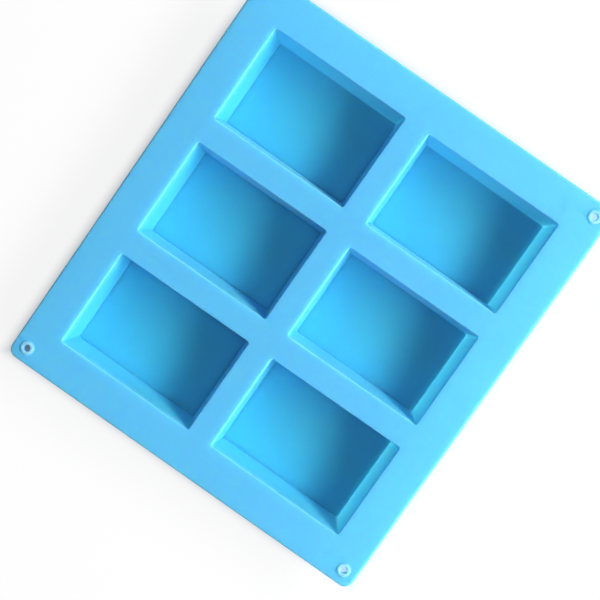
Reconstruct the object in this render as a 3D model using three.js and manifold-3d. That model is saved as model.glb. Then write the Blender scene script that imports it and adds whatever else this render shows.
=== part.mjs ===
// A silicone soap mould: a flat sheet with a grid of rectangular cavities, whose cups hang below
// it, and a raised ring round a small hanging hole at each corner. Millimetres, +Z up. The origin
// is on the surface that the cups stand on, under the middle of the sheet. X runs along the
// length of a cavity and Y along its width.
import * as THREE from "three";
import { mergeVertices, toCreasedNormals } from "three/addons/utils/BufferGeometryUtils.js";
import Module from "manifold-3d";

// Grid of cavities: columns along X and rows along Y
const columns = ["left", "right"];
const rows = ["front", "middle", "back"];
const columnBar = 14.3; // sheet left between two columns of mouths
const rowBar = 14.2; // sheet left between two rows of mouths

// Cavity: its mouth is measured where the walls would meet the top of the sheet
const cavityLength = 80;
const cavityWidth = 55.5;
const cavityDepth = 25;
const cavityDraft = 2.5; // how far each wall leans in from the mouth to the floor
const cavityCorner = 1.2; // upright corner between two walls
const cavityLip = 0.8; // rounded edge between the sheet's top and a wall
const cavityFillet = 0.4; // hollow rounding between a wall and the floor

// Sheet
const sheetThickness = 2.5;
const sheetEndMargin = 20.6; // from the outer mouths to the sheet's ends along X
const sheetSideMargin = 21; // from the outer mouths to the sheet's sides along Y
const sheetCorner = 5;
const sheetEdge = 1; // rounding of the outer edge, above and below

// Cup: the wall and the bottom round each cavity
const cupWall = 1.8;
const cupBottom = 2;
const cupFoot = 2; // rounding between the wall and the bottom
const cupRoot = 1.5; // hollow rounding where the wall grows out of the sheet

// Eyelet: a raised ring round a hole, near each corner
const eyeletInset = 7.8; // from the hole's axis to the sheet's end, and to its side
const eyeletHole = 1.7;
const eyeletRim = 4;
const eyeletHeight = 0.8;
const eyeletCrown = 0.7; // rounding of the ring's outer upper edge
const eyeletMouth = 0.4; // rounding of the hole's upper edge

// How far a cutter runs past the faces that it cuts
const cutOverrun = 1;

// Facets: along a corner of a rectangle, along a rounding, and round an eyelet
const cornerSteps = 6;
const roundSteps = 4;
const eyeletSides = 28;

// Levels, from the surface that the mould stands on
const sheetTop = cupBottom + cavityDepth;
const sheetUnderside = sheetTop - sheetThickness;

// The whole sheet
const columnPitch = cavityLength + columnBar;
const rowPitch = cavityWidth + rowBar;
const sheetLength = columns.length * columnPitch - columnBar + 2 * sheetEndMargin;
const sheetWidth = rows.length * rowPitch - rowBar + 2 * sheetSideMargin;

// The walls' lean from upright, and the cup wall as a level cut shows it
const lean = Math.atan2(cavityDraft, cavityDepth);
const levelWall = cupWall / Math.cos(lean);

// Roundings that can't outgrow the wall, corner or sheet that they round
const sheetEdgeRadius = Math.min(sheetEdge, sheetThickness / 2);
const lipRadius = Math.min(cavityLip, sheetThickness);
const floorRadius = Math.min(cavityFillet, cavityCorner);
const footRadius = Math.min(cupFoot, cavityCorner + cupWall, cupBottom);
const crownRadius = Math.min(eyeletCrown, eyeletHeight, (eyeletRim - eyeletHole) / 2);
const mouthRadius = Math.min(eyeletMouth, eyeletHeight, (eyeletRim - eyeletHole) / 2);

const wasm = await Module();
wasm.setup();

// Sections are drawn as points of out and z: out is measured level, outwards from the edge of the
// mouth or of the sheet, and z from the surface that the mould stands on.

// A cavity wall's place at a height
function wallOut(z) {
  return (-cavityDraft * (sheetTop - z)) / cavityDepth;
}

// From the corner of a leaning wall and a level face to where a rounding leaves either of them
function tangentRun(radius) {
  return radius / Math.tan((Math.PI / 2 + lean) / 2);
}

function arc(centreOut, centreZ, radius, from, to) {
  const points = [];
  for (let step = 0; step <= roundSteps; step++) {
    const angle = from + ((to - from) * step) / roundSteps;
    points.push({
      out: centreOut + radius * Math.cos(angle),
      z: centreZ + radius * Math.sin(angle),
    });
  }
  return points;
}

// A rectangle with rounded corners, anticlockwise from above
function roundedRing(halfLength, halfWidth, corner, z) {
  const ring = [];
  for (let quarter = 0; quarter < 4; quarter++) {
    const sideX = quarter === 0 || quarter === 3 ? 1 : -1;
    const sideY = quarter < 2 ? 1 : -1;
    for (let step = 0; step <= cornerSteps; step++) {
      const angle = ((quarter + step / cornerSteps) * Math.PI) / 2;
      const x = sideX * (halfLength - corner) + corner * Math.cos(angle);
      const y = sideY * (halfWidth - corner) + corner * Math.sin(angle);
      ring.push(new THREE.Vector3(x, y, z));
    }
  }
  return ring;
}

// The ring that a section's point sweeps round a cavity, its corners true to the walls' corners
function cavityRing({ out, z }) {
  const corner = cavityCorner + out - wallOut(z);
  return roundedRing(cavityLength / 2 + out, cavityWidth / 2 + out, corner, z);
}

// The ring that a section's point sweeps round the sheet
function sheetRing({ out, z }) {
  return roundedRing(sheetLength / 2 + out, sheetWidth / 2 + out, sheetCorner + out, z);
}

// A closed body through rings, with a flat face over the first ring and over the last
function loft(rings) {
  const sides = rings[0].length;
  const points = rings.flat();
  const faces = [];
  for (let ring = 0; ring + 1 < rings.length; ring++) {
    for (let side = 0; side < sides; side++) {
      const here = ring * sides + side;
      const next = ring * sides + ((side + 1) % sides);
      faces.push(here, next, next + sides);
      faces.push(here, next + sides, here + sides);
    }
  }
  const firstMiddle = points.push(new THREE.Vector3(0, 0, rings[0][0].z)) - 1;
  const lastMiddle = points.push(new THREE.Vector3(0, 0, rings.at(-1)[0].z)) - 1;
  const lastRing = (rings.length - 1) * sides;
  for (let side = 0; side < sides; side++) {
    const next = (side + 1) % sides;
    faces.push(firstMiddle, next, side);
    faces.push(lastMiddle, lastRing + side, lastRing + next);
  }
  const geometry = new THREE.BufferGeometry().setFromPoints(points);
  geometry.setIndex(faces);
  return geometry;
}

// A geometry as a solid that can be cut, and back
function toSolid(geometry) {
  const bare = geometry.clone();
  bare.deleteAttribute("normal");
  bare.deleteAttribute("uv");
  const merged = mergeVertices(bare);
  const mesh = new wasm.Mesh({
    numProp: 3,
    vertProperties: merged.attributes.position.array,
    triVerts: new Uint32Array(merged.index.array),
  });
  return new wasm.Manifold(mesh);
}

function toGeometry(solid) {
  const mesh = solid.getMesh();
  const geometry = new THREE.BufferGeometry();
  geometry.setAttribute("position", new THREE.BufferAttribute(mesh.vertProperties, 3));
  geometry.setIndex(new THREE.BufferAttribute(mesh.triVerts, 1));
  return geometry;
}

// The tool that cuts one cavity's drafted window through the sheet and rounds its lip
function windowCutter() {
  const below = sheetUnderside - cutOverrun;
  const lipRun = tangentRun(lipRadius);
  return loft(
    [
      { out: wallOut(below), z: below },
      ...arc(lipRun, sheetTop - lipRadius, lipRadius, Math.PI - lean, Math.PI / 2),
      { out: lipRun, z: sheetTop + cutOverrun },
    ].map(cavityRing),
  );
}

// The tool that drills one eyelet's hole through the sheet
function holeCutter() {
  const length = sheetThickness + 2 * cutOverrun;
  const cutter = new THREE.CylinderGeometry(eyeletHole, eyeletHole, length, eyeletSides);
  return cutter.rotateX(Math.PI / 2).translate(0, 0, (sheetTop + sheetUnderside) / 2);
}

// The flat sheet with its windows and its holes
function sheetGeometry(cavityPlaces, eyeletPlaces) {
  const inner = -sheetEdgeRadius;
  const blank = loft(
    [
      ...arc(inner, sheetUnderside + sheetEdgeRadius, sheetEdgeRadius, -Math.PI / 2, 0),
      ...arc(inner, sheetTop - sheetEdgeRadius, sheetEdgeRadius, 0, Math.PI / 2),
    ].map(sheetRing),
  );
  let solid = toSolid(blank);
  for (const { x, y } of cavityPlaces) {
    solid = solid.subtract(toSolid(windowCutter().translate(x, y, 0)));
  }
  for (const { x, y } of eyeletPlaces) {
    solid = solid.subtract(toSolid(holeCutter().translate(x, y, 0)));
  }
  return toGeometry(solid);
}

// A cup, from its bottom up the outside of the wall, over its top under the sheet, down the
// inside of the wall and across the cavity's floor
function cupGeometry() {
  const footRun = tangentRun(footRadius);
  const footOut = wallOut(0) + levelWall - footRun;
  const rootOut = wallOut(sheetUnderside) + levelWall + tangentRun(cupRoot);
  const floorOut = wallOut(cupBottom) - tangentRun(floorRadius);
  return loft(
    [
      ...arc(footOut, footRadius, footRadius, -Math.PI / 2, -lean),
      ...arc(rootOut, sheetUnderside - cupRoot, cupRoot, Math.PI - lean, Math.PI / 2),
      { out: wallOut(sheetUnderside), z: sheetUnderside },
      ...arc(floorOut, cupBottom + floorRadius, floorRadius, -lean, -Math.PI / 2),
    ].map(cavityRing),
  );
}

// A raised ring, turned about its hole's axis
function eyeletGeometry() {
  const crown = arc(eyeletRim - crownRadius, eyeletHeight - crownRadius, crownRadius, 0, Math.PI / 2);
  const mouth = arc(
    eyeletHole + mouthRadius,
    eyeletHeight - mouthRadius,
    mouthRadius,
    Math.PI / 2,
    Math.PI,
  );
  const section = [{ out: eyeletHole, z: 0 }, { out: eyeletRim, z: 0 }, ...crown, ...mouth];
  const profile = [...section, section[0]].map(({ out, z }) => new THREE.Vector2(out, z));
  const ring = new THREE.LatheGeometry(profile, eyeletSides);
  return ring.rotateX(Math.PI / 2).translate(0, 0, sheetTop);
}

// Where a copy stands in a line of copies that is centred on the origin
function placeInLine(index, count, pitch) {
  return (index - (count - 1) / 2) * pitch;
}

const cavityPlaces = columns.flatMap((column, i) =>
  rows.map((row, j) => ({
    name: `cup_${column}_${row}`,
    x: placeInLine(i, columns.length, columnPitch),
    y: placeInLine(j, rows.length, rowPitch),
  })),
);

const eyeletPlaces = ["left", "right"].flatMap((end, i) =>
  ["front", "back"].map((side, j) => ({
    name: `eyelet_ring_${end}_${side}`,
    x: placeInLine(i, 2, sheetLength - 2 * eyeletInset),
    y: placeInLine(j, 2, sheetWidth - 2 * eyeletInset),
  })),
);

// Dyed silicone rubber, moulded with a satin face
function piece(name, geometry, x, y) {
  const silicone = new THREE.MeshStandardMaterial({
    color: 0x5ac1f4,
    roughness: 0.55,
    metalness: 0,
  });
  const mesh = new THREE.Mesh(toCreasedNormals(geometry, Math.PI / 6), silicone);
  mesh.name = name;
  mesh.position.set(x, y, 0);
  return mesh;
}

const mould = new THREE.Group();
mould.add(piece("sheet", sheetGeometry(cavityPlaces, eyeletPlaces), 0, 0));
for (const { name, x, y } of cavityPlaces) {
  mould.add(piece(name, cupGeometry(), x, y));
}
for (const { name, x, y } of eyeletPlaces) {
  mould.add(piece(name, eyeletGeometry(), x, y));
}

export default mould;
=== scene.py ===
import math

import bmesh
import bpy
from mathutils import Matrix, Vector, noise


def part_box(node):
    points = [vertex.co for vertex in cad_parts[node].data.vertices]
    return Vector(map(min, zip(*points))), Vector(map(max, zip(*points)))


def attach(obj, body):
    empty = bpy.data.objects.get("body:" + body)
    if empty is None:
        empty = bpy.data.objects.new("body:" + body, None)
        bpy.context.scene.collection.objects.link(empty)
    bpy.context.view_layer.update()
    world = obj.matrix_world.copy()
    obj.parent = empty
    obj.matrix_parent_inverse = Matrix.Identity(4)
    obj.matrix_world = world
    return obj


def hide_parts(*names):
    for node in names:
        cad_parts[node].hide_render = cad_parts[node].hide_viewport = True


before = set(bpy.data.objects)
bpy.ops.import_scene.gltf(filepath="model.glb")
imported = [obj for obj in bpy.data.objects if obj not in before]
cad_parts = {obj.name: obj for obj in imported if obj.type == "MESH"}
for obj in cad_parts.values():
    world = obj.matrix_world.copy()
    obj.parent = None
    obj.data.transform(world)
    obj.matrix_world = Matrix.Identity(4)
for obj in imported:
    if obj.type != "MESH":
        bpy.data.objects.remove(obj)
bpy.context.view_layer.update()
mm = 0.001
quarterTurn = math.pi / 2


def addNode(tree, kind, settings=None, inputs=None):
    # One node with its settings, and its inputs set to values or linked to other nodes' outputs
    node = tree.nodes.new(kind)
    for name, value in (settings or {}).items():
        setattr(node, name, value)
    for key, value in (inputs or {}).items():
        if isinstance(value, bpy.types.NodeSocket):
            tree.links.new(value, node.inputs[key])
        else:
            node.inputs[key].default_value = value
    return node


def newTree(name, inputs):
    tree = bpy.data.node_groups.new(name, "GeometryNodeTree")
    for label, kind in inputs:
        tree.interface.new_socket(name=label, in_out="INPUT", socket_type="NodeSocket" + kind)
    tree.interface.new_socket(name="Geometry", in_out="OUTPUT", socket_type="NodeSocketGeometry")
    return tree, addNode(tree, "NodeGroupInput").outputs


def linearColour(hexColour):
    # sRGB hex to the linear colour that the shaders take
    channels = [int(hexColour[i : i + 2], 16) / 255 for i in (1, 3, 5)]
    return [c / 12.92 if c <= 0.04045 else ((c + 0.055) / 1.055) ** 2.4 for c in channels] + [1.0]


# The camera looks almost straight down, with the sheet turned in the picture
camera = {
    "place": (8.147, 25.057, 584.275),  # mm, from the middle of the sheet's top
    "aim": (1.704, -9.090, 0.0),  # mm, where the middle of the picture falls on the sheet's top
    "turn": -34.86,  # degrees from +Y to the picture's upward way, seen from above
    "sensor": 36.0,  # mm
    "focal": 68.6073,  # mm
    "nearest": 10.0,  # mm, where the view begins
}


def makeCamera():
    sheetTop = Vector((0, 0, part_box("sheet")[1].z))
    place = sheetTop + Vector(camera["place"]) * mm
    aim = sheetTop + Vector(camera["aim"]) * mm
    back = (place - aim).normalized()
    turn = math.radians(camera["turn"])
    up = Vector((math.sin(turn), math.cos(turn), 0))
    right = up.cross(back).normalized()
    up = back.cross(right)
    lens = bpy.data.cameras.new("cameraLens")
    lens.lens = camera["focal"]
    lens.sensor_width = camera["sensor"]
    lens.clip_start = camera["nearest"] * mm
    view = bpy.data.objects.new("camera", lens)
    bpy.context.scene.collection.objects.link(view)
    axes = Matrix((right, up, back)).transposed().to_4x4()
    view.matrix_world = Matrix.Translation(place) @ axes
    bpy.context.scene.camera = view


makeCamera()
print("stage: camera")


# The moulding. All sizes in mm; the rest comes from the frame.
mould = {
    "mouthLength": 80.0,
    "mouthWidth": 55.5,
    "cornerRadius": 1.2,  # between two walls of a cavity, in plan
    "draft": 2.5,  # how far a wall leans in from the mouth to the floor
    "bottom": 2.0,  # thickness of a cup's bottom
    "wall": 1.8,
    "lip": 0.4,
    "floorFillet": 0.4,
    "foot": 2.0,
    "root": 1.5,
    "sheetCorner": 5.0,
    "sheetEdge": 1.0,
    "eyeletHole": 1.7,
    "eyeletLean": 0.8,  # how far the ring's side leans in
    "eyeletCrown": 0.8,
    "eyeletMouth": 0.4,
    "eyeletBlend": 0.7,  # hollow rounding where the ring grows out of the sheet
    "flat": 0.2,  # how far a section runs on past its last rounding
    "cornerSteps": 7,
    "roundSteps": 7,
    "seam": 0.004,  # points closer than this are one
    "lattice": 6.0,  # spacing of the cuts that let the flat faces bend
    "droop": 0.245,  # how far the free border hangs along each edge; the corners hang twice as far
    "wave": 0.16,  # height of the sheet's slow unevenness
    "waveLength": 85.0,
    "bow": 0.12,  # how far walls wander sideways
    "bowLength": 48.0,
    "bowHeightShare": 0.5,  # the wandering changes this much slower up a wall than along it
    "bowShifts": ((7, 0, 0), (0, 9, 0)),  # places in the noise, so that X and Y wander apart
    "shadingWeight": 50,  # how much the large faces lead the shading
}


def sectionObject(name, points):
    # A section's outline as a wire: (out, height, rounding) in mm. The tree rounds its corners.
    mesh = bpy.data.meshes.new(name)
    verts = [(out * mm, 0, height * mm) for out, height, _ in points]
    mesh.from_pydata(verts, [(i, i + 1) for i in range(len(points) - 1)], [])
    rounding = mesh.attributes.new("rounding", "FLOAT", "POINT")
    rounding.data.foreach_set("value", [r * mm for _, _, r in points])
    section = bpy.data.objects.new(name, mesh)
    bpy.context.scene.collection.objects.link(section)
    return section


def sweepTree():
    # Sweeps a section round a rectangle whose corners keep the walls' own radius at every height.
    # Half 0 with corner 0 makes it a circle.
    tree, given = newTree(
        "sweepSection",
        [
            ("Section", "Object"),
            ("Half Size", "Vector"),
            ("Corner", "Float"),
            ("Lean", "Float"),
            ("Top", "Float"),
            ("Corner Steps", "Int"),
            ("Round Steps", "Int"),
        ],
    )
    section = addNode(tree, "GeometryNodeObjectInfo", None, {"Object": given["Section"]})
    rounding = addNode(tree, "GeometryNodeInputNamedAttribute", None, {"Name": "rounding"})
    curve = addNode(tree, "GeometryNodeMeshToCurve", None, {"Mesh": section.outputs["Geometry"]})
    rounded = addNode(
        tree,
        "GeometryNodeFilletCurve",
        {"mode": "POLY"},
        {
            "Curve": curve.outputs["Curve"],
            "Radius": rounding.outputs["Attribute"],
            "Count": given["Round Steps"],
        },
    )
    wire = addNode(tree, "GeometryNodeCurveToMesh", None, {"Curve": rounded.outputs["Curve"]})
    size = addNode(
        tree, "GeometryNodeAttributeDomainSize", None, {"Geometry": wire.outputs["Mesh"]}
    )
    perSide = addNode(
        tree,
        "FunctionNodeIntegerMath",
        {"operation": "ADD"},
        {0: given["Corner Steps"], 1: 1},
    )
    ringCount = addNode(
        tree,
        "FunctionNodeIntegerMath",
        {"operation": "MULTIPLY_ADD"},
        {0: perSide.outputs[0], 1: 4, 2: 1},
    )
    grid = addNode(
        tree,
        "GeometryNodeMeshGrid",
        None,
        {"Vertices X": size.outputs["Point Count"], "Vertices Y": ringCount.outputs[0]},
    )
    index = addNode(tree, "GeometryNodeInputIndex")
    sectionIndex = addNode(
        tree,
        "FunctionNodeIntegerMath",
        {"operation": "DIVIDE_FLOOR"},
        {0: index.outputs[0], 1: ringCount.outputs[0]},
    )
    ringIndex = addNode(
        tree,
        "FunctionNodeIntegerMath",
        {"operation": "FLOORED_MODULO"},
        {0: index.outputs[0], 1: ringCount.outputs[0]},
    )
    quarter = addNode(
        tree,
        "FunctionNodeIntegerMath",
        {"operation": "DIVIDE_FLOOR"},
        {0: ringIndex.outputs[0], 1: perSide.outputs[0]},
    )
    step = addNode(
        tree,
        "FunctionNodeIntegerMath",
        {"operation": "FLOORED_MODULO"},
        {0: ringIndex.outputs[0], 1: perSide.outputs[0]},
    )
    quarterAngle = addNode(
        tree, "ShaderNodeMath", {"operation": "MULTIPLY"}, {0: quarter.outputs[0], 1: quarterTurn}
    )
    stepAngle = addNode(
        tree,
        "ShaderNodeMapRange",
        None,
        {
            "Value": step.outputs[0],
            "From Max": given["Corner Steps"],
            "To Max": quarterTurn,
        },
    )
    angle = addNode(
        tree,
        "ShaderNodeMath",
        {"operation": "ADD"},
        {0: quarterAngle.outputs[0], 1: stepAngle.outputs["Result"]},
    )
    position = addNode(tree, "GeometryNodeInputPosition")
    sample = addNode(
        tree,
        "GeometryNodeSampleIndex",
        {"data_type": "FLOAT_VECTOR"},
        {
            "Geometry": wire.outputs["Mesh"],
            "Value": position.outputs[0],
            "Index": sectionIndex.outputs[0],
        },
    )
    parts = addNode(tree, "ShaderNodeSeparateXYZ", None, {0: sample.outputs[0]})
    drop = addNode(
        tree,
        "ShaderNodeMath",
        {"operation": "SUBTRACT"},
        {0: given["Top"], 1: parts.outputs["Z"]},
    )
    leanIn = addNode(
        tree,
        "ShaderNodeMath",
        {"operation": "MULTIPLY_ADD"},
        {0: drop.outputs[0], 1: given["Lean"], 2: given["Corner"]},
    )
    radius = addNode(
        tree,
        "ShaderNodeMath",
        {"operation": "ADD"},
        {0: leanIn.outputs[0], 1: parts.outputs["X"]},
    )
    inward = addNode(
        tree,
        "ShaderNodeMath",
        {"operation": "SUBTRACT"},
        {0: parts.outputs["X"], 1: radius.outputs[0]},
    )
    straight = addNode(
        tree,
        "ShaderNodeVectorMath",
        {"operation": "ADD"},
        {0: given["Half Size"], 1: inward.outputs[0]},
    )
    cornerWay = addNode(
        tree,
        "ShaderNodeVectorRotate",
        {"rotation_type": "Z_AXIS"},
        {"Vector": (1, 1, 0), "Angle": quarterAngle.outputs[0]},
    )
    centre = addNode(
        tree,
        "ShaderNodeVectorMath",
        {"operation": "MULTIPLY"},
        {0: straight.outputs[0], 1: cornerWay.outputs[0]},
    )
    outWay = addNode(
        tree,
        "ShaderNodeVectorRotate",
        {"rotation_type": "Z_AXIS"},
        {"Vector": (1, 0, 0), "Angle": angle.outputs[0]},
    )
    plan = addNode(
        tree,
        "ShaderNodeVectorMath",
        {"operation": "MULTIPLY_ADD"},
        {0: outWay.outputs[0], 1: radius.outputs[0], 2: centre.outputs[0]},
    )
    height = addNode(tree, "ShaderNodeCombineXYZ", None, {"Z": parts.outputs["Z"]})
    place = addNode(
        tree,
        "ShaderNodeVectorMath",
        {"operation": "ADD"},
        {0: plan.outputs[0], 1: height.outputs[0]},
    )
    swept = addNode(
        tree,
        "GeometryNodeSetPosition",
        None,
        {"Geometry": grid.outputs["Mesh"], "Position": place.outputs[0]},
    )
    addNode(tree, "NodeGroupOutput", None, {"Geometry": swept.outputs["Geometry"]})
    return tree


def fillTree():
    # A flat face across all the open edges at one height, with holes where they nest
    tree, given = newTree("fillLevel", [("Mesh", "Geometry"), ("Level", "Float"), ("Reach", "Float")])
    neighbours = addNode(tree, "GeometryNodeInputMeshEdgeNeighbors")
    isOpen = addNode(
        tree,
        "FunctionNodeCompare",
        {"data_type": "INT", "operation": "EQUAL"},
        {"A": neighbours.outputs[0], "B": 1},
    )
    position = addNode(tree, "GeometryNodeInputPosition")
    parts = addNode(tree, "ShaderNodeSeparateXYZ", None, {0: position.outputs[0]})
    isLevel = addNode(
        tree,
        "FunctionNodeCompare",
        {"data_type": "FLOAT", "operation": "EQUAL"},
        {"A": parts.outputs["Z"], "B": given["Level"], "Epsilon": given["Reach"]},
    )
    isEdge = addNode(
        tree,
        "FunctionNodeBooleanMath",
        {"operation": "AND"},
        {0: isOpen.outputs[0], 1: isLevel.outputs[0]},
    )
    outline = addNode(
        tree,
        "GeometryNodeMeshToCurve",
        None,
        {"Mesh": given["Mesh"], "Selection": isEdge.outputs[0]},
    )
    filled = addNode(
        tree, "GeometryNodeFillCurve", {"mode": "TRIANGLES"}, {"Curve": outline.outputs["Curve"]}
    )
    lift = addNode(tree, "ShaderNodeCombineXYZ", None, {"Z": given["Level"]})
    lifted = addNode(
        tree,
        "GeometryNodeSetPosition",
        None,
        {"Geometry": filled.outputs["Mesh"], "Offset": lift.outputs[0]},
    )
    addNode(tree, "NodeGroupOutput", None, {"Geometry": lifted.outputs["Geometry"]})
    return tree


def mouldTree():
    # The whole moulding as one closed skin: cavities and cups on a grid, the sheet's edge, the
    # eyelets, and the flat faces between them
    tree, given = newTree(
        "soapMouldTree",
        [
            ("Cavity Section", "Object"),
            ("Cup Section", "Object"),
            ("Edge Section", "Object"),
            ("Eyelet Section", "Object"),
            ("Half Mouth", "Vector"),
            ("Half Sheet", "Vector"),
            ("Cavity Corner", "Float"),
            ("Sheet Corner", "Float"),
            ("Lean", "Float"),
            ("Top", "Float"),
            ("Underside", "Float"),
            ("Floor", "Float"),
            ("Grid Length", "Float"),
            ("Grid Width", "Float"),
            ("Columns", "Int"),
            ("Rows", "Int"),
            ("Eyelet Length", "Float"),
            ("Eyelet Width", "Float"),
            ("Corner Steps", "Int"),
            ("Round Steps", "Int"),
            ("Seam", "Float"),
            ("Material", "Material"),
        ],
    )
    sweep = sweepTree()
    fill = fillTree()

    def sweepOf(section, half, corner, lean):
        inputs = {"Section": given[section], "Top": given["Top"]}
        inputs |= {name: given[name] for name in ("Corner Steps", "Round Steps")}
        inputs |= {"Half Size": half, "Corner": corner, "Lean": lean}
        return addNode(tree, "GeometryNodeGroup", {"node_tree": sweep}, inputs).outputs[0]

    cavity = sweepOf("Cavity Section", given["Half Mouth"], given["Cavity Corner"], given["Lean"])
    cup = sweepOf("Cup Section", given["Half Mouth"], given["Cavity Corner"], given["Lean"])
    edge = sweepOf("Edge Section", given["Half Sheet"], given["Sheet Corner"], 0.0)
    eyelet = sweepOf("Eyelet Section", (0, 0, 0), 0.0, 0.0)

    def gridOf(lengthName, widthName, columns, rows, pieces):
        points = addNode(
            tree,
            "GeometryNodeMeshGrid",
            None,
            {
                "Size X": given[lengthName],
                "Size Y": given[widthName],
                "Vertices X": columns,
                "Vertices Y": rows,
            },
        )
        piece = addNode(tree, "GeometryNodeJoinGeometry")
        for part in pieces:
            tree.links.new(part, piece.inputs[0])
        copies = addNode(
            tree,
            "GeometryNodeInstanceOnPoints",
            None,
            {"Points": points.outputs["Mesh"], "Instance": piece.outputs[0]},
        )
        return copies.outputs["Instances"]

    cells = gridOf("Grid Length", "Grid Width", given["Columns"], given["Rows"], [cavity, cup])
    eyelets = gridOf("Eyelet Length", "Eyelet Width", 2, 2, [eyelet])
    skins = addNode(tree, "GeometryNodeJoinGeometry")
    for part in (cells, eyelets, edge):
        tree.links.new(part, skins.inputs[0])
    loose = addNode(tree, "GeometryNodeRealizeInstances", None, {0: skins.outputs[0]})
    sewn = addNode(
        tree,
        "GeometryNodeMergeByDistance",
        None,
        {"Geometry": loose.outputs[0], "Distance": given["Seam"]},
    )
    whole = addNode(tree, "GeometryNodeJoinGeometry")
    tree.links.new(sewn.outputs[0], whole.inputs[0])
    for level in (given["Top"], given["Underside"], given["Floor"], 0.0):
        inputs = {"Mesh": sewn.outputs[0], "Level": level, "Reach": given["Seam"]}
        flat = addNode(tree, "GeometryNodeGroup", {"node_tree": fill}, inputs)
        tree.links.new(flat.outputs[0], whole.inputs[0])
    closed = addNode(
        tree,
        "GeometryNodeMergeByDistance",
        None,
        {"Geometry": whole.outputs[0], "Distance": given["Seam"]},
    )
    real = addNode(tree, "GeometryNodeRealizeInstances", None, {0: closed.outputs[0]})
    dressed = addNode(
        tree,
        "GeometryNodeSetMaterial",
        None,
        {"Geometry": real.outputs[0], "Material": given["Material"]},
    )
    addNode(tree, "NodeGroupOutput", None, {"Geometry": dressed.outputs[0]})
    return tree


def sections(top, underside, eyeletRim, eyeletTop):
    # The four outlines, as (out, height, rounding): out from the edge of the mouth or the sheet
    m = mould
    depth = top - m["bottom"]
    levelWall = m["wall"] / math.cos(math.atan2(m["draft"], depth))
    flat = m["flat"]

    def wallOut(height):
        return -m["draft"] * (top - height) / depth

    floorOut = wallOut(m["bottom"])
    footOut = wallOut(0) + levelWall
    rootOut = wallOut(underside) + levelWall
    return {
        "Cavity Section": [
            (floorOut - m["floorFillet"] - flat / 2, m["bottom"], 0),
            (floorOut, m["bottom"], m["floorFillet"]),
            (0, top, m["lip"]),
            (m["lip"] + flat, top, 0),
        ],
        "Cup Section": [
            (footOut - m["foot"] - flat, 0, 0),
            (footOut, 0, m["foot"]),
            (rootOut, underside, m["root"]),
            (rootOut + m["root"] + flat, underside, 0),
        ],
        "Edge Section": [
            (-m["sheetEdge"] - flat, underside, 0),
            (0, underside, m["sheetEdge"]),
            (0, top, m["sheetEdge"]),
            (-m["sheetEdge"] - flat, top, 0),
        ],
        "Eyelet Section": [
            (eyeletRim + m["eyeletBlend"] + flat, top, 0),
            (eyeletRim, top, m["eyeletBlend"]),
            (eyeletRim - m["eyeletLean"], eyeletTop, m["eyeletCrown"]),
            (m["eyeletHole"], eyeletTop, m["eyeletMouth"]),
            (m["eyeletHole"], underside, m["eyeletMouth"]),
            (m["eyeletHole"] + m["eyeletMouth"] + flat, underside, 0),
        ],
    }


def treeInputs(material):
    # The tree's inputs, in metres, from the frame's boxes and the dictionary above
    sheetLow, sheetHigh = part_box("sheet")
    cupLow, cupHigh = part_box("cup_left_front")
    farLow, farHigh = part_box("cup_right_back")
    ringLow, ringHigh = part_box("eyelet_ring_left_front")
    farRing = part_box("eyelet_ring_right_back")
    gridSpan = (farLow + farHigh - cupLow - cupHigh) / 2
    ringSpan = (sum(farRing, Vector()) - ringLow - ringHigh) / 2
    outlines = sections(
        sheetHigh.z / mm, sheetLow.z / mm, (ringHigh.x - ringLow.x) / 2 / mm, ringHigh.z / mm
    )
    floor = mould["bottom"] * mm
    names = [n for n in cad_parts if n.startswith("cup_")]
    rows = len([n for n in names if n.startswith("cup_left_")])
    return {name: sectionObject(name.replace(" ", ""), points) for name, points in outlines.items()} | {
        "Half Mouth": (mould["mouthLength"] / 2 * mm, mould["mouthWidth"] / 2 * mm, 0),
        "Half Sheet": (sheetHigh.x, sheetHigh.y, 0),
        "Cavity Corner": mould["cornerRadius"] * mm,
        "Sheet Corner": mould["sheetCorner"] * mm,
        "Lean": mould["draft"] * mm / (sheetHigh.z - floor),
        "Top": sheetHigh.z,
        "Underside": sheetLow.z,
        "Floor": floor,
        "Grid Length": gridSpan.x,
        "Grid Width": gridSpan.y,
        "Columns": len(names) // rows,
        "Rows": rows,
        "Eyelet Length": ringSpan.x,
        "Eyelet Width": ringSpan.y,
        "Corner Steps": mould["cornerSteps"],
        "Round Steps": mould["roundSteps"],
        "Seam": mould["seam"] * mm,
        "Material": material,
    }


def plainMesh(piece):
    # What the modifiers make, as a mesh of its own
    bpy.context.view_layer.update()
    evaluated = piece.evaluated_get(bpy.context.evaluated_depsgraph_get())
    return bpy.data.meshes.new_from_object(evaluated)


def cutLattice(skin):
    # Straight cuts across every face, so that the flat ones can bend
    lowest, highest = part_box("sheet")
    for axis in (0, 1):
        normal = Vector((axis == 0, axis == 1, 0))
        count = round((highest[axis] - lowest[axis]) / mm / mould["lattice"])
        for i in range(1, count):
            at = lowest[axis] + (highest[axis] - lowest[axis]) * i / count
            bmesh.ops.bisect_plane(
                skin,
                geom=skin.verts[:] + skin.edges[:] + skin.faces[:],
                dist=mould["seam"] * mm,
                plane_co=normal * at,
                plane_no=normal,
            )


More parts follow.
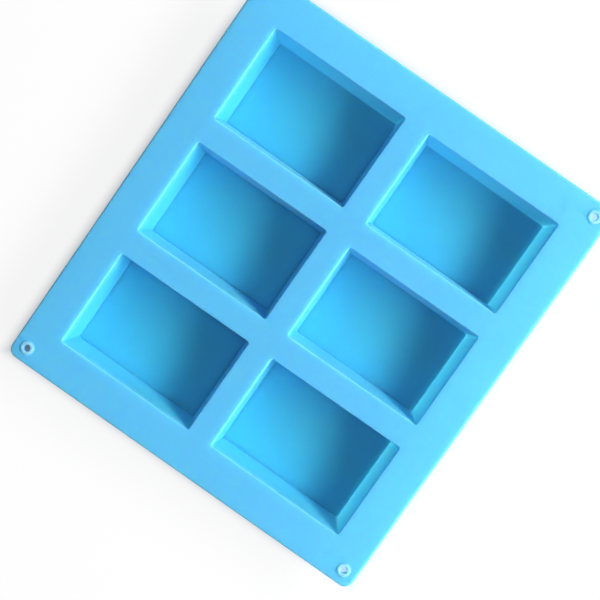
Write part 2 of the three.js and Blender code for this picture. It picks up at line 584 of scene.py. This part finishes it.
def easeRubber(skin):
    # What a soft moulding does at rest: the free border hangs a little, and nothing is quite flat
    sheetLow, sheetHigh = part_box("sheet")
    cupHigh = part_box("cup_right_back")[1]
    for vert in skin.verts:
        x, y, z = vert.co
        raised = min(z / sheetLow.z, 1)
        hang = [
            max(abs(at) - held, 0) / (end - held)
            for at, held, end in ((x, cupHigh.x, sheetHigh.x), (y, cupHigh.y, sheetHigh.y))
        ]
        slow = Vector((x, y, 0)) / (mould["waveLength"] * mm)
        quick = Vector((x, y, z * mould["bowHeightShare"])) / (mould["bowLength"] * mm)
        sag = mould["droop"] * mm * (hang[0] ** 2 + hang[1] ** 2)
        lift = mould["wave"] * mm * noise.noise(slow)
        side = Vector([noise.noise(quick + Vector(shift)) for shift in mould["bowShifts"]] + [0])
        vert.co += side * mould["bow"] * mm * raised
        vert.co.z += (lift - sag) * raised * raised


def makeMould(material):
    piece = bpy.data.objects.new("soap_mould", bpy.data.meshes.new("soapMouldMesh"))
    bpy.context.scene.collection.objects.link(piece)
    tree = mouldTree()
    modifier = piece.modifiers.new("moulding", "NODES")
    modifier.node_group = tree
    values = treeInputs(material)
    for item in tree.interface.items_tree:
        if item.in_out == "INPUT":
            modifier[item.identifier] = values[item.name]
    mesh = plainMesh(piece)
    piece.modifiers.remove(modifier)
    piece.data = mesh
    for value in values.values():
        if isinstance(value, bpy.types.Object):
            bpy.data.objects.remove(value)

    skin = bmesh.new()
    skin.from_mesh(mesh)
    cutLattice(skin)
    easeRubber(skin)
    bmesh.ops.recalc_face_normals(skin, faces=skin.faces[:])
    for face in skin.faces:
        face.smooth = True
    openEdges = sum(1 for e in skin.edges if len(e.link_faces) != 2)
    print("mould: faces", len(skin.faces), "open edges", openEdges, "volume ml", skin.calc_volume() * 1e6)
    skin.to_mesh(mesh)
    skin.free()
    mesh.materials.clear()
    mesh.materials.append(material)
    even = piece.modifiers.new("evenShading", "WEIGHTED_NORMAL")
    even.mode = "FACE_AREA"
    even.weight = mould["shadingWeight"]
    return piece


# Silicone rubber, cast and cured in a blasted steel tool: a matte face with a faint grain, cloudy
# right through, so that a lit wall glows on its dark side. The top is painted paler, full on top and
# fading a few millimetres down the walls: partly a thin handling bloom, partly painted light of the lit
# top.
silicone = {
    "colour": "#3CCAFF",  # clean rubber, inside the cavities and underneath
    "deepColour": "#36C4FD",
    "reach": (13.0, 14.0, 10.0),  # mm in red, green and blue; the 2 mm walls glow when lit from outside
    "bloomReach": (7.6, 8.0, 4.8),  # mm; used where the top is painted pale, so that more of the light comes back
    "layers": {
        # colour, then the levels between which it comes in, in mm from the sheet's top
        # partly a thin handling bloom, partly painted light: the lit top painted paler than the shaded
        # cavities
        "bloomAndPaintedLight": ("#5CC0FF", -6.0, -0.1),
        "paintedEyeletHighlight": ("#90D2FC", 0.0, 0.8),  # the eyelets' raised rings, painted palest: a painted highlight
    },
    "bloomSheen": 0.1,  # pale where a lit face is seen from the side
    "bloomRoughness": 0.4,
    "cloudSize": 32.0,  # mm, slow change of colour and gloss
    "cloudDetail": 3.0,
    "cloudRoughness": 0.5,
    "grainSize": 0.6,  # mm; the real grain is near 0.1 mm, too fine to show
    "grainDetail": 2.0,
    "grainDepth": 0.012,  # mm
    "roughness": (0.62, 0.72),
    "ior": 1.41,
    "gloss": 0.5,
}


def makeSilicone():
    material = bpy.data.materials.new("blueSiliconeRubber")
    material.use_nodes = True
    tree = material.node_tree
    tree.nodes.clear()
    place = addNode(tree, "ShaderNodeTexCoord").outputs["Object"]
    parts = addNode(tree, "ShaderNodeSeparateXYZ", None, {0: place})
    clouds = addNode(
        tree,
        "ShaderNodeTexNoise",
        None,
        {
            "Vector": place,
            "Scale": 1 / (silicone["cloudSize"] * mm),
            "Detail": silicone["cloudDetail"],
            "Roughness": silicone["cloudRoughness"],
        },
    )
    colour = addNode(
        tree,
        "ShaderNodeMix",
        {"data_type": "RGBA"},
        {
            "Factor": clouds.outputs["Fac"],
            6: linearColour(silicone["deepColour"]),
            7: linearColour(silicone["colour"]),
        },
    )
    # Colours painted in by height: a pale top that is partly painted light, and a painted highlight on
    # the eyelets
    risen = {}
    for name, (layerColour, low, high) in silicone["layers"].items():
        risen[name] = addNode(
            tree,
            "ShaderNodeMapRange",
            {"interpolation_type": "SMOOTHSTEP"},
            {
                "Value": parts.outputs["Z"],
                "From Min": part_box("sheet")[1].z + low * mm,
                "From Max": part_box("sheet")[1].z + high * mm,
            },
        )
        colour = addNode(
            tree,
            "ShaderNodeMix",
            {"data_type": "RGBA"},
            {
                "Factor": risen[name].outputs["Result"],
                6: colour.outputs[2],
                7: linearColour(layerColour),
            },
        )
    reach = addNode(
        tree,
        "ShaderNodeMix",
        {"data_type": "VECTOR"},
        {
            "Factor": risen["bloomAndPaintedLight"].outputs["Result"],
            4: silicone["reach"],
            5: silicone["bloomReach"],
        },
    )
    rough = addNode(
        tree,
        "ShaderNodeMapRange",
        None,
        {
            "Value": clouds.outputs["Fac"],
            "To Min": silicone["roughness"][0],
            "To Max": silicone["roughness"][1],
        },
    )
    grain = addNode(
        tree,
        "ShaderNodeTexNoise",
        None,
        {
            "Vector": place,
            "Scale": 1 / (silicone["grainSize"] * mm),
            "Detail": silicone["grainDetail"],
        },
    )
    bump = addNode(
        tree,
        "ShaderNodeBump",
        None,
        {"Height": grain.outputs["Fac"], "Strength": 1.0, "Distance": silicone["grainDepth"] * mm},
    )
    shader = addNode(
        tree,
        "ShaderNodeBsdfPrincipled",
        {"subsurface_method": "RANDOM_WALK"},
        {
            "Base Color": colour.outputs[2],
            "Roughness": rough.outputs["Result"],
            "Normal": bump.outputs["Normal"],
            "IOR": silicone["ior"],
            "Specular IOR Level": silicone["gloss"],
            "Sheen Weight": silicone["bloomSheen"],
            "Sheen Roughness": silicone["bloomRoughness"],
            "Subsurface Weight": 1.0,
            "Subsurface Radius": reach.outputs[1],
            "Subsurface Scale": mm,
        },
    )
    addNode(tree, "ShaderNodeOutputMaterial", None, {"Surface": shader.outputs[0]})
    return material


piece = makeMould(makeSilicone())
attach(piece, "root")
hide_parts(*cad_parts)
print("stage: mould")


# A plain pale floor, lit from one side by a low and a high soft window, with a weak lamp overhead
# in a dim white room
studio = {
    "floorSize": 40.0,  # m
    "floorColour": "#B4B8BC",  # the paper as the mould meets it
    "seenColour": "#F2F2F2",  # the paper as the eye meets it
    "paintedBlueLightColour": "#A8CFE6",  # the same under the mould, painted with the blue light that comes through the rubber
    "shadeFade": (-0.003, 0.012),  # m out from the mould's outline, where the floor's own shade ends
    "openGlow": (0.87, 1.0),  # share of plain white that the eye gets from the near and far floor
    "openReach": (0.3, 1.5),  # m from the mould's middle, where near ends and far begins
    "contact": 0.0001,  # m between the floor and the cups
    "roomLight": 0.096,
    "lamps": {
        # degrees from +X towards +Y, degrees above the floor, m away, m across and upright, W
        "lowWindowLight": (8, 5, 2.0, (2.0, 0.35), 24.0),
        "highWindowLight": (27, 37, 2.0, (2.6, 0.6), 72.0),
        "overheadLight": (30, 88, 2.0, (0.9, 0.9), 7.5),
    },
}


def makeFloorPaint():
    # White paper. Beyond the mould's outline the eye gets mostly plain white, so that the ground
    #     # stays white nearly up to the sheet; under the mould it keeps its own shade, painted blue for
    #     the light that comes through the rubber.
    material = bpy.data.materials.new("paleFloor")
    material.use_nodes = True
    tree = material.node_tree
    tree.nodes.clear()
    path = addNode(tree, "ShaderNodeLightPath").outputs
    seen = path["Is Camera Ray"]
    for ray in ("Is Glossy Ray", "Is Transmission Ray"):
        either = addNode(tree, "ShaderNodeMath", {"operation": "MAXIMUM"}, {0: seen, 1: path[ray]})
        seen = either.outputs[0]
    place = addNode(tree, "ShaderNodeTexCoord").outputs["Object"]
    parts = addNode(tree, "ShaderNodeSeparateXYZ", None, {0: place}).outputs
    outside = 0.0
    for axis in (0, 1):
        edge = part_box("sheet")[1][axis]
        size = addNode(tree, "ShaderNodeMath", {"operation": "ABSOLUTE"}, {0: parts[axis]})
        beyond = addNode(
            tree,
            "ShaderNodeMapRange",
            {"interpolation_type": "SMOOTHSTEP"},
            {
                "Value": size.outputs[0],
                "From Min": edge + studio["shadeFade"][0],
                "From Max": edge + studio["shadeFade"][1],
            },
        )
        further = addNode(
            tree,
            "ShaderNodeMath",
            {"operation": "MAXIMUM"},
            {0: outside, 1: beyond.outputs["Result"]},
        )
        outside = further.outputs[0]
    # Under the mould the paper is painted blue, standing in for the light that comes through the rubber
    paper = addNode(
        tree,
        "ShaderNodeMix",
        {"data_type": "RGBA"},
        {
            "Factor": outside,
            6: linearColour(studio["paintedBlueLightColour"]),
            7: linearColour(studio["seenColour"]),
        },
    )
    colour = addNode(
        tree,
        "ShaderNodeMix",
        {"data_type": "RGBA"},
        {"Factor": seen, 6: linearColour(studio["floorColour"]), 7: paper.outputs[2]},
    )
    openShare = addNode(tree, "ShaderNodeMath", {"operation": "MULTIPLY"}, {0: seen, 1: outside})
    distance = addNode(tree, "ShaderNodeVectorMath", {"operation": "LENGTH"}, {0: place})
    white = addNode(
        tree,
        "ShaderNodeMapRange",
        None,
        {
            "Value": distance.outputs["Value"],
            "From Min": studio["openReach"][0],
            "From Max": studio["openReach"][1],
            "To Min": studio["openGlow"][0],
            "To Max": studio["openGlow"][1],
        },
    )
    share = addNode(
        tree,
        "ShaderNodeMath",
        {"operation": "MULTIPLY"},
        {0: openShare.outputs[0], 1: white.outputs["Result"]},
    )
    paint = addNode(tree, "ShaderNodeBsdfDiffuse", None, {"Color": colour.outputs[2]})
    glow = addNode(tree, "ShaderNodeEmission", None, {"Strength": 1.0})
    mixed = addNode(
        tree,
        "ShaderNodeMixShader",
        None,
        {0: share.outputs[0], 1: paint.outputs[0], 2: glow.outputs[0]},
    )
    addNode(tree, "ShaderNodeOutputMaterial", None, {"Surface": mixed.outputs[0]})
    return material


def makeLamp(name, turn, rise, distance, size, power):
    # A soft rectangle that faces the middle of the mould
    light = bpy.data.lights.new(name, "AREA")
    light.shape = "RECTANGLE"
    light.size, light.size_y = size
    light.energy = power
    lamp = bpy.data.objects.new(name, light)
    bpy.context.scene.collection.objects.link(lamp)
    turn, rise = math.radians(turn), math.radians(rise)
    away = Vector((math.cos(rise) * math.cos(turn), math.cos(rise) * math.sin(turn), math.sin(rise)))
    level = Vector((0, 0, 1)).cross(away).normalized()
    axes = Matrix((level, away.cross(level), away)).transposed().to_4x4()
    lamp.matrix_world = Matrix.Translation(away * distance) @ axes


def makeStage():
    half = studio["floorSize"] / 2
    mesh = bpy.data.meshes.new("floorMesh")
    mesh.from_pydata(
        [(-half, -half, 0), (half, -half, 0), (half, half, 0), (-half, half, 0)], [], [(0, 1, 2, 3)]
    )
    mesh.materials.append(makeFloorPaint())
    floor = bpy.data.objects.new("floor", mesh)
    floor.location.z = -studio["contact"]
    bpy.context.scene.collection.objects.link(floor)

    world = bpy.data.worlds.new("dimRoom")
    bpy.context.scene.world = world
    world.use_nodes = True
    tree = world.node_tree
    tree.nodes.clear()
    path = addNode(tree, "ShaderNodeLightPath").outputs
    seen = addNode(
        tree,
        "ShaderNodeMath",
        {"operation": "MAXIMUM"},
        {0: path["Is Camera Ray"], 1: path["Is Transmission Ray"]},
    )
    strength = addNode(
        tree,
        "ShaderNodeMapRange",
        None,
        {"Value": seen.outputs[0], "To Min": studio["roomLight"], "To Max": 1.0},
    )
    room = addNode(
        tree,
        "ShaderNodeBackground",
        None,
        {"Color": (1, 1, 1, 1), "Strength": strength.outputs["Result"]},
    )
    addNode(tree, "ShaderNodeOutputWorld", None, {"Surface": room.outputs[0]})

    for name, lamp in studio["lamps"].items():
        makeLamp(name, *lamp)


makeStage()
bpy.context.scene.view_settings.view_transform = "Standard"
print("stage: floor and light")
